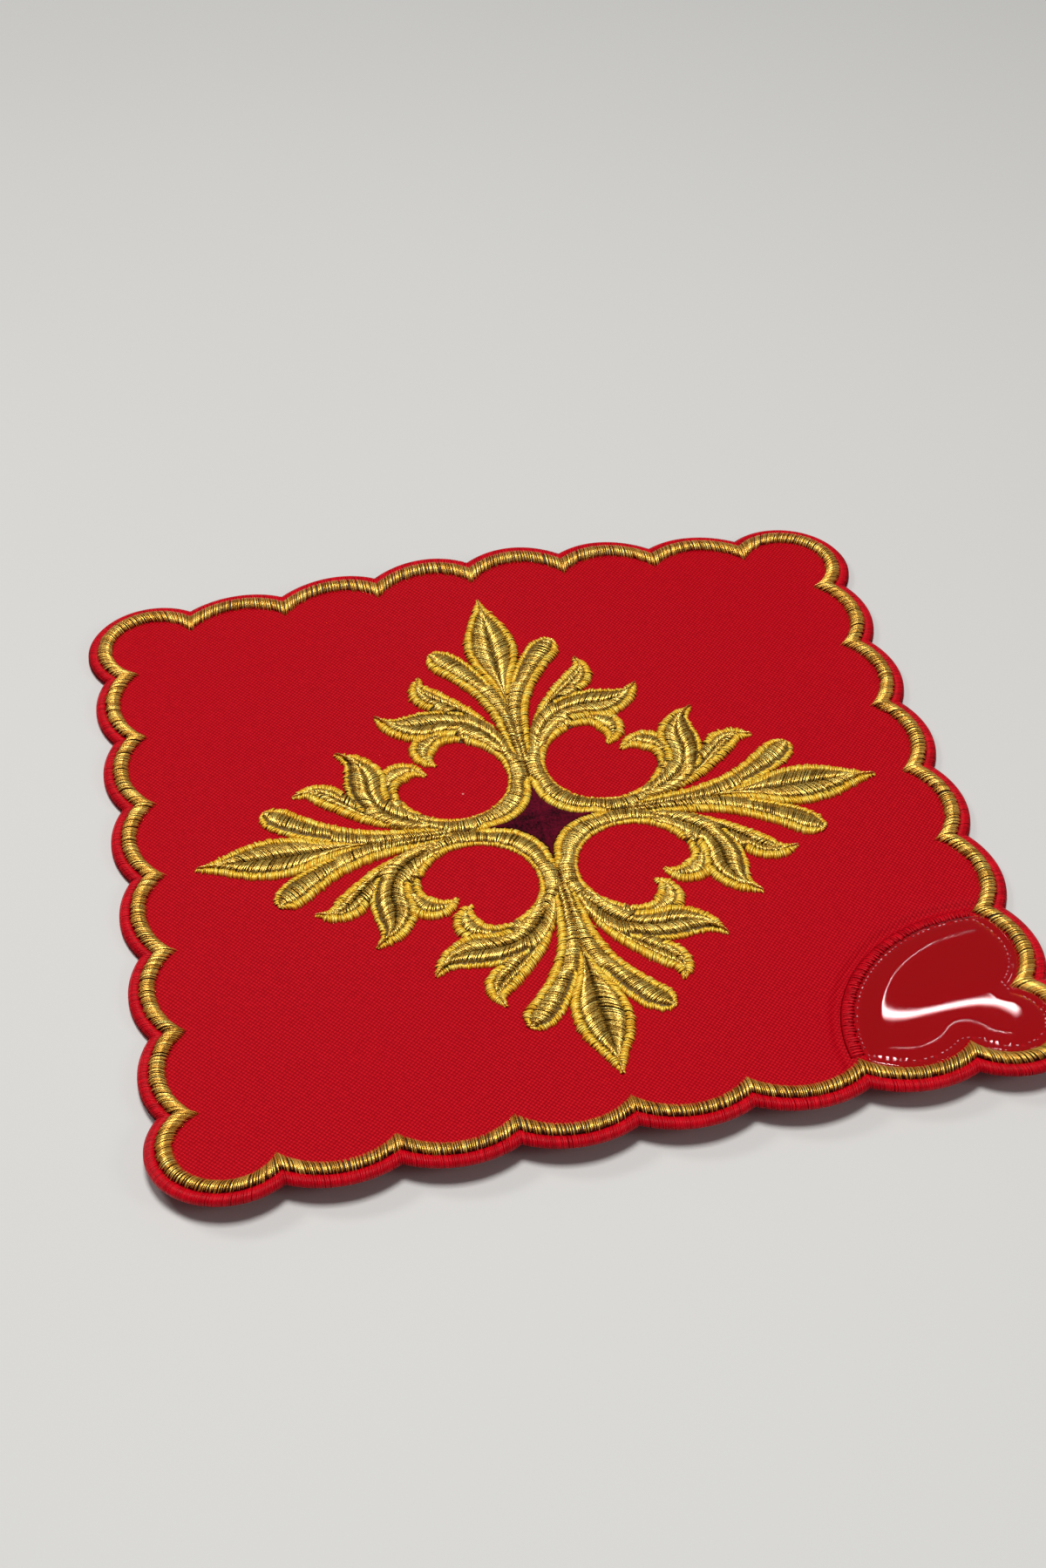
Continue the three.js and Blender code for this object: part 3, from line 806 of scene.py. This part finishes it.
def fill_leaf(table, place, rows, left, right, lean, columns, keep_out=(), lift=0.0):
    """Satin columns of a leaf. left and right say along which shares of its length each side is outlined."""
    inset = [PAST_EDGE + (UNDER_OUTLINE - PAST_EDGE) * share_outlined(*shares) for shares in (left, right)]
    sides = [place(side_line(rows, side, gap)) for side, gap in zip((1, -1), inset)]
    middle = place(rails(rows)[0])
    edge, rib = FILL_EDGE + lift, RIB_HEIGHT + lift
    if columns == 1:
        lines = [satin(*sides, THREAD_PITCH, lean, (edge, edge), FILL_ARCH, 6)]
    else:
        lines = [satin(s, middle, THREAD_PITCH, lean, (edge, rib), FILL_ARCH, overrun=0.2) for s in sides]
    for column in lines:
        long_enough = np.linalg.norm(column[:, -1, :2] - column[:, 0, :2], axis=1) > SHORTEST_STITCH
        sew(table, only(column[long_enough], keep_out), FILL_WIDTH, FILL_HEIGHT, FILL)


def sew_outline(table, outer, inner, keep_out=(), lean=0.0, lift=0.0, crest=OUTLINE_CREST, ragged=0.12):
    """Yellow satin from an outer line to an inner one that lies on the fill."""
    lines = satin(outer, inner, OUTLINE_PITCH, lean, (OUTLINE_FOOT, FILL_EDGE + lift), crest, ragged=ragged)
    sew(table, only(lines, keep_out), OUTLINE_THREAD, OUTLINE_HEIGHT, OUTLINE)


def outline_side(table, place, rows, side, shares, keep_out=(), lift=0.0, width=OUTLINE_WIDTH):
    """The outline along part of one side of a leaf, between two shares of its length."""
    outer, inner = side_line(rows, side), side_line(rows, side, width)
    chosen = slice(int(shares[0] * (len(outer) - 1)), int(shares[1] * (len(outer) - 1)) + 1)
    crest = OUTLINE_CREST * min(1, 0.4 + 0.6 * width / OUTLINE_WIDTH)
    sew_outline(table, place(outer[chosen]), place(inner[chosen]), keep_out, OUTLINE_LEAN, lift, crest, 0.16)


print("a leaf's padding is", ONE_ROLL[2][1], "mm high at its middle")

# %% [markdown]
# ## Arms
# Each arm has a pointed centre leaf, and a blunt finger on either side of it. The two fingers run down side
# by side to form the trunk, and the leaf's base disappears under them. One finger and one leaf are drawn, and
# quarter turns and mirror images give the rest.

# %% Four arms
def plain(points):
    return points


def flipped_x(points):
    return points * [-1, 1]


def quarter_place(turn, flip=plain):
    """What puts points drawn for the back arm, or their mirror image, in another quarter."""
    return lambda points: turned(flip(points), turn)


SIDES = ("back", "left", "front", "right")
WHOLE = (0.0, 1.0)
FINGER_OUTER, FINGER_INNER = (0.04, 1.0), (0.6, 1.0)
FINGER_LEAN, CENTRE_LEAN, FINGER_TUCK, BETWEEN_FINGERS = 0.8, 2.6, 0.3, 1.3
for turn, side in enumerate(SIDES):
    arm = Worktable()
    fingers = [quarter_place(turn), quarter_place(turn, flipped_x)]
    covered = [place(leaf_outline(FINGER, FINGER_TUCK)) for place in fingers]
    for place in fingers:
        pad_leaf(arm, place, side_line(FINGER, 1), side_line(FINGER, -1))
        fill_leaf(arm, place, FINGER, FINGER_OUTER, FINGER_INNER, FINGER_LEAN, 1)
        outline_side(arm, place, FINGER, 1, FINGER_OUTER)
        outline_side(arm, place, FINGER, -1, FINGER_INNER, width=BETWEEN_FINGERS)
    place = quarter_place(turn)
    pad_leaf(arm, place, side_line(CENTRE_LEAF, 1), side_line(CENTRE_LEAF, -1), TWO_ROLLS)
    fill_leaf(arm, place, CENTRE_LEAF, WHOLE, WHOLE, CENTRE_LEAN, 2, covered)
    for hand in (1, -1):
        outline_side(arm, place, CENTRE_LEAF, hand, WHOLE, covered)
    arm.piece(f"stitched_arm_{side}", GOLDS, "gold_embroidery", f"leaf_arm_{side}")

# %% [markdown]
# ## Scrolls
# A scroll is a band bent round a bare loop, with three leaves at each end. Its inner side is a circle. Its
# outer side runs along the star's edge, then straight beside its neighbour, and then into the main leaf, so
# it is found by asking, for each direction from the loop's middle, which of those limits comes first.

# %% The band round a loop
LOOP_CENTRE, LOOP_RADIUS, STAR_SIDE, SEAM = np.array([-16.3, 16.3]), 12, 11.7, -0.1
BAND_ANGLES = [0, 21, 45, 56, 62, 82, 102, 122, 137]
BAND_WIDTHS = [6.6, 5.9, 4.6, 4.8, 4.2, 3.6, 3, 2.4, 1]
BAND_REACH, BAND_POINTS = 137, 400
STAR_TIP, V_REACH = 29, 42
LOOP_REACH, LOOP_WIDE, LOOP_NARROW = 112, 1.8, 0.95


def way_at(angles):
    """Directions from a loop's middle, at angles from the pall's diagonal in degrees."""
    way = np.radians(angles - 45)
    return np.stack([np.cos(way), np.sin(way)], 1)


def loop_line(angles, out=0.0):
    """The band's inner side, a circle round the loop, moved out by some width."""
    return LOOP_CENTRE + way_at(angles) * np.reshape(LOOP_RADIUS + out, (-1, 1))


def outer_line(angles, inset=0.0):
    """The band's outer side, moved in by an inset."""
    way = way_at(angles)
    reach = LOOP_RADIUS + np.interp(abs(angles), BAND_ANGLES, BAND_WIDTHS)
    gap = LOOP_CENTRE - np.array([-STAR_SIDE, STAR_SIDE])
    along = way @ gap
    star = -along + np.sqrt(np.maximum(along**2 - gap @ gap + STAR_SIDE**2, 0))
    reach = np.where(abs(angles) < STAR_TIP, np.minimum(reach, star), reach)
    seam_x = (-SEAM - LOOP_CENTRE[0]) / np.maximum(way[:, 0], 1e-3)
    seam_y = (SEAM - LOOP_CENTRE[1]) / np.minimum(way[:, 1], -1e-3)
    reach = np.minimum(reach, np.minimum(seam_x, np.where(way[:, 1] < -1e-2, seam_y, 1e3)))
    return LOOP_CENTRE + way * (reach - inset)[:, None]


def flipped_diagonal(points):
    return -points[..., ::-1]


angles = np.linspace(-BAND_REACH, BAND_REACH, BAND_POINTS)
beside_star = OUTLINE_WIDTH * np.clip((V_REACH - abs(angles)) / (V_REACH - STAR_TIP), 0, 1)
beside_loop = np.interp(abs(angles), [0, 45, 75], [LOOP_NARROW, LOOP_NARROW, LOOP_WIDE])
by_star, by_loop = abs(angles) < V_REACH, abs(angles) < LOOP_REACH
print("the outlines beside the star are up to", beside_star.max(), "mm wide")

# %% Four scrolls
CORNERS = ("back_left", "front_left", "front_right", "back_right")
UPPER_INNER, MAIN_SHARES, MAIN_FOOT = (0.6, 1.0), (0.42, 1.0), (0.0, 0.26)
LOWER_OUTER, LOWER_INNER = (0.4, 1.0), (0.15, 1.0)
UPPER_LEAN, LOWER_LEAN, MAIN_LEAN, MAIN_LIFT, FOOT_LIFT = 1.4, 0.4, 2.4, 0.05, 0.1
MAIN_TUCK, BESIDE_FINGER = 0.4, -0.1
OVER_BAND = ((FINGER, 0.8, 16), (MAIN_LEAF, 1.3, 24), (LOWER_LEAFLET, 0.8, 30))

for turn, corner in enumerate(CORNERS):
    scroll = Worktable()
    whole = quarter_place(turn)
    ends = [whole, quarter_place(turn, flipped_diagonal)]
    over_band = [place(leaf_outline(*cover)) for cover in OVER_BAND for place in ends]
    pad_leaf(scroll, whole, loop_line(angles), outer_line(angles))
    fill_inner = whole(loop_line(angles, np.maximum(beside_loop - 0.5, 0)))
    fill_outer = whole(outer_line(angles, np.maximum(beside_star - 0.6, 0)))
    fill = satin(fill_inner, fill_outer, THREAD_PITCH, 0, (FILL_EDGE, FILL_EDGE), FILL_ARCH, 6)
    sew(scroll, only(fill, over_band), FILL_WIDTH, FILL_HEIGHT, FILL)
    near, wide = angles[by_star], beside_star[by_star]
    sew_outline(scroll, whole(outer_line(near)), whole(outer_line(near, wide)))
    near, wide = angles[by_loop], beside_loop[by_loop]
    sew_outline(scroll, whole(loop_line(near)), whole(loop_line(near, wide)))
    for place in ends:
        finger = place(leaf_outline(FINGER, BESIDE_FINGER))
        main = place(leaf_outline(MAIN_LEAF, MAIN_TUCK))
        for rows, rolls in ((UPPER_LEAFLET, TWO_ROLLS), (LOWER_LEAFLET, ONE_ROLL), (MAIN_LEAF, TWO_ROLLS)):
            pad_leaf(scroll, place, side_line(rows, 1), side_line(rows, -1), rolls)
        fill_leaf(scroll, place, UPPER_LEAFLET, UPPER_INNER, WHOLE, UPPER_LEAN, 2, [main, finger])
        fill_leaf(scroll, place, LOWER_LEAFLET, LOWER_INNER, LOWER_OUTER, LOWER_LEAN, 1, [main])
        fill_leaf(scroll, place, MAIN_LEAF, MAIN_SHARES, MAIN_SHARES, MAIN_LEAN, 2, [finger], MAIN_LIFT)
        outline_side(scroll, place, UPPER_LEAFLET, -1, WHOLE, [finger])
        outline_side(scroll, place, UPPER_LEAFLET, 1, UPPER_INNER, [main])
        outline_side(scroll, place, LOWER_LEAFLET, -1, LOWER_OUTER, [main])
        outline_side(scroll, place, LOWER_LEAFLET, 1, LOWER_INNER)
        outline_side(scroll, place, MAIN_LEAF, -1, MAIN_FOOT, [finger], FOOT_LIFT, 1.4)
        outline_side(scroll, place, MAIN_LEAF, -1, MAIN_SHARES, (), MAIN_LIFT, 1.2)
        outline_side(scroll, place, MAIN_LEAF, 1, MAIN_SHARES, (), MAIN_LIFT)
    scroll.piece(f"stitched_scroll_{corner}", GOLDS, "gold_embroidery", f"scroll_{corner}")

# %% [markdown]
# ## The velvet star
# Between the scrolls lies a small star of dark velvet. Velvet is dark when seen from above and light at a
# grazing angle, which the Principled shader's sheen gives. Two soft creases cross at its middle, with a
# painted highlight, a lighter tone, along them. Its pile is a fine triangle mesh with every point at a
# slightly different height.

# %% Velvet finish
star_finish, star_shader, star_place = finish_named(
    "burgundy_velvet", Roughness=0.9, Specular_IOR_Level=0.1, Sheen_Weight=0.25, Sheen_Roughness=0.35
)
star_shader.inputs["Sheen Tint"].default_value = linear(150, 30, 50)


def painted_crease_highlight(axis):
    """Mask of a painted highlight: 1 on the crease that lies where this axis is 0, and 0 beside it."""
    return 1 - ramped(abs(along_axis(star_place, axis)), 0.1 * MM, 0.7 * MM)


pile = grain(star_place, 2000.0, 3.0)
crushed = grain(star_place, 190.0, 1.0)
# The creases get a painted highlight: the tone is raised along them.
tone = pile * 0.8 + crushed * 0.6 - 0.2 + (painted_crease_highlight("X") * 0.5 + painted_crease_highlight("Y") * 0.5) * 0.16
feed(star_shader, "Base Color", mixed(ramped(tone, 0.3, 0.75), (20, 0, 6), (98, 6, 32)))
feed(star_shader, "Normal", bumped(pile, 0.12 * MM))
print("velvet nodes:", len(star_finish.node_tree.nodes))

# %% The star
STAR_TOP, CREASE_HEIGHT, CREASE_WIDTH, PILE = 0.5, 0.3, 0.6, 0.05
STAR_GRID, STAR_UNDER, STAR_STEPS = 0.35, 0.2, 24
star_half = math.pi / 4 - 0.05
star_edge = []
for quarter in range(4):
    facing = math.pi / 4 + quarter * math.pi / 2
    middle = STAR_SIDE * math.sqrt(2) * np.array([math.cos(facing), math.sin(facing)])
    back = facing + math.pi
    star_edge.append(arc(*middle, STAR_SIDE, back + star_half, back - star_half, STAR_STEPS))
star_edge = np.concatenate(star_edge)


def star_top(x, y):
    crease = np.exp(-((x / CREASE_WIDTH) ** 2)) + np.exp(-((y / CREASE_WIDTH) ** 2))
    return cloth_height(x, y) + STAR_TOP + CREASE_HEIGHT * crease + draw.normal(0, PILE, np.shape(x))


span = np.arange(-11, 11, STAR_GRID)
star_grid = grid_points(span, span, star_edge * 0.97)
star = Worktable()
slab(star, star_edge, star_grid, star_top, lambda x, y: cloth_height(x, y) - STAR_UNDER, 0)
star.piece("velvet_star", [star_finish], "dark_velvet", "centre_star")

# %% [markdown]
# ## The clear sheet
# Over the front right corner lies a thin clear sheet. It swells softly in the middle and is pulled down along
# its seams, where each needle hole leaves a dimple that catches the light. Those forms are real here: the
# mesh has a fine grid, and each hole is pressed into it. A small pale bead on each hole is a painted
# highlight, the glint of light at the dimple. For the finish, a see-through shader is mixed with a glossy one
# by a factor that grows at a low angle, as it does on any clear plastic.

# %% Clear finish
FACE_ON_SHARE, GRAZING_POWER = 0.04, 5
sheet_finish = bpy.data.materials.new("clear_sheet")
sheet_finish.use_nodes = True
sheet_tree = sheet_finish.node_tree
sheet_tree.nodes.remove(sheet_tree.nodes["Principled BSDF"])
blank = Wire(sheet_tree)
see_through = blank.node("ShaderNodeBsdfTransparent", {}, {"Color": linear(245, 205, 208)})
glossy = blank.node(
    "ShaderNodeBsdfAnisotropic", {"distribution": "BECKMANN"}, {"Color": (1, 1, 1, 1), "Roughness": 0.04}
)
grazing = blank.node("ShaderNodeLayerWeight", {}, {"Blend": 0.5}, "Facing")
mirror_share = grazing ** GRAZING_POWER * (1 - FACE_ON_SHARE) + FACE_ON_SHARE
clear = blank.node("ShaderNodeMixShader", {}, {0: mirror_share, 1: see_through, 2: glossy})
sheet_tree.links.new(clear.socket, sheet_tree.nodes["Material Output"].inputs["Surface"])
# Pale pink finish for the beads at the needle holes: painted highlights of the dimples.
hole_highlight_finish = satin_finish("painted_hole_highlight", (170, 30, 44), (208, 96, 108), (250, 190, 196), rough=0.3, gloss=0.6)
print("sheet finishes:", sheet_finish.name, hole_highlight_finish.name)

# %% Outline and needle holes
SHEET_OFFSET, ROUND_POINTS = -0.3, 80
HOLE_INSET, HOLE_SPACING, HOLE_WIDTH, HOLE_DEPTH = 2.0, 1.2, 0.34, 0.3


def from_corner(points):
    return np.linalg.norm(points - PATCH_CENTRE, axis=-1)


def sheet_outline(edge_offset, radius):
    """The part of the edge line inside the round, closed by the part of the round inside the edge line."""
    edge = edge_line(edge_offset, 60, 90, edge_offset < -1)
    near = from_corner(edge) < radius
    start = np.flatnonzero(near & ~np.roll(near, 1))[0]
    run = np.roll(edge, -start, 0)[:near.sum()]
    a, b = run[-1] - PATCH_CENTRE, run[0] - PATCH_CENTRE
    first, last = math.atan2(a[1], a[0]) % (2 * math.pi), math.atan2(b[1], b[0]) % (2 * math.pi)
    angle = np.linspace(first, last, ROUND_POINTS)[1:-1]
    return np.concatenate([run, PATCH_CENTRE + radius * np.stack([np.cos(angle), np.sin(angle)], 1)])


sheet_edge = sheet_outline(SHEET_OFFSET, PATCH_RADIUS)
hole_line = sheet_outline(-HOLE_INSET, PATCH_RADIUS - 0.5)
hole_line = np.concatenate([hole_line, hole_line[:1]])
hole_far = np.r_[0, np.cumsum(gaps_of(hole_line))]
hole_count = round(hole_far[-1] / HOLE_SPACING)
hole_share = (np.arange(hole_count) + draw.normal(0, 0.12, hole_count)) / hole_count
holes = at_distance(hole_line, hole_far, hole_share * hole_far[-1])
print("needle holes:", hole_count)

# %% The sheet
SHEET_GRID, SHEET_LIFT, SHEET_THICK, SWELL, SWELL_REACH = 0.36, 0.45, 0.35, 0.4, 5
SEAM_WIDTH, SEAM_DEPTH = 0.7, 0.12
BEAD_LENGTH, BEAD_HEIGHT, BEAD_LIFT, BEADS_SHOWN = 0.55, 0.13, 0.02, 0.88


def from_line(points, line):
    """Distance of each point from the nearest point of a line."""
    return np.sqrt(((points[:, None] - line[None]) ** 2).sum(2).min(1))


def sheet_top(x, y):
    points = np.stack([x, y], -1)
    away = np.minimum(from_line(points, sheet_edge) / SWELL_REACH, 1)
    swell = SWELL * away * away * (3 - 2 * away)
    pit = np.exp(-((from_line(points, holes) / HOLE_WIDTH) ** 2))
    seam = np.exp(-((from_line(points, hole_line) / SEAM_WIDTH) ** 2))
    ripple = 0.015 * np.sin(x / 6.1 + y / 11) + 0.02 * np.sin(x / 9 - y / 7)
    return cloth_height(x, y) + SHEET_LIFT + swell + ripple * away - HOLE_DEPTH * pit - SEAM_DEPTH * seam


clear_sheet = Worktable()
span = np.arange(40, 92, SHEET_GRID)
sheet_grid = grid_points(span, -span, sheet_outline(2 * SHEET_OFFSET, PATCH_RADIUS + SHEET_OFFSET))
slab(clear_sheet, sheet_edge, sheet_grid, sheet_top, lambda x, y: sheet_top(x, y) - SHEET_THICK, 0)
# A short bead on each needle hole carries the painted highlight.
way = unit(holes - np.roll(holes, 1, 0))
spots = holes[:, None] + way[:, None] * (np.linspace(-0.5, 0.5, 4) * BEAD_LENGTH)[None, :, None]
bead_top = sheet_top(*spots.reshape(-1, 2).T).reshape(spots.shape[:2]) + BEAD_LIFT
beads = np.concatenate([spots, bead_top[..., None]], 2)
shown = draw.random(len(beads)) < BEADS_SHOWN
bead_width = draw.uniform(0.25, 0.5, (shown.sum(), 1))
sew(clear_sheet, beads[shown], bead_width, BEAD_HEIGHT, 1)
clear_sheet.piece("clear_corner", [sheet_finish, hole_highlight_finish], "clear_sheet", "clear_patch")

# %% [markdown]
# ## The sheet's stitching
# The round side of the sheet is sewn down over a soft ridge, with wide red stitches about a millimetre apart
# and finer ones between them. Each is a thread of its own that leans a little. The cloth dips beyond them.

# %% Sheet stitching
STITCH_LINE = PATCH_RADIUS + 1.4
RIDGE = ((31.7, 0.0), (32.1, 0.3), (33.0, 0.34), (33.8, 0.18), (34.2, 0.0))
seam_arc = sheet_outline(SHEET_OFFSET, STITCH_LINE)
on_round = np.abs(from_corner(seam_arc) - STITCH_LINE) < 0.01
ring_middle = seam_arc[on_round]
way_out = (ring_middle - PATCH_CENTRE) / from_corner(ring_middle)[:, None]


def ring_at(radius):
    return PATCH_CENTRE + way_out * radius


seam = Worktable()
ridge_rows = []
for radius, height in RIDGE:
    spot = ring_at(radius)
    ridge_rows.append(np.column_stack([spot, cloth_height(*spot.T) + height]))
ridge = np.stack(ridge_rows, 1)[:, ::-1]
quads, caps = closed_rows(ridge)
seam.add(ridge.reshape(-1, 3), quads, caps, CORE)
wide_stitches = satin(ring_at(31.5), ring_at(34.1), 0.95, 0.2, (0.32, 0.02), 0.2, 5, 0.1)
sew(seam, wide_stitches, 0.62, 0.1, THREAD)
fine_stitches = satin(ring_at(32.0), ring_at(33.9), 0.46, -0.2, (0.26, 0.02), 0.16, 5, 0.1)
sew(seam, fine_stitches, 0.46, 0.06, THREAD)
seam.piece("sheet_stitching", [rim_core, rim_thread], "red_satin", "patch_stitching")

# %% [markdown]
# A dressed piece may only stand a few millimetres outside the solid it stands for.
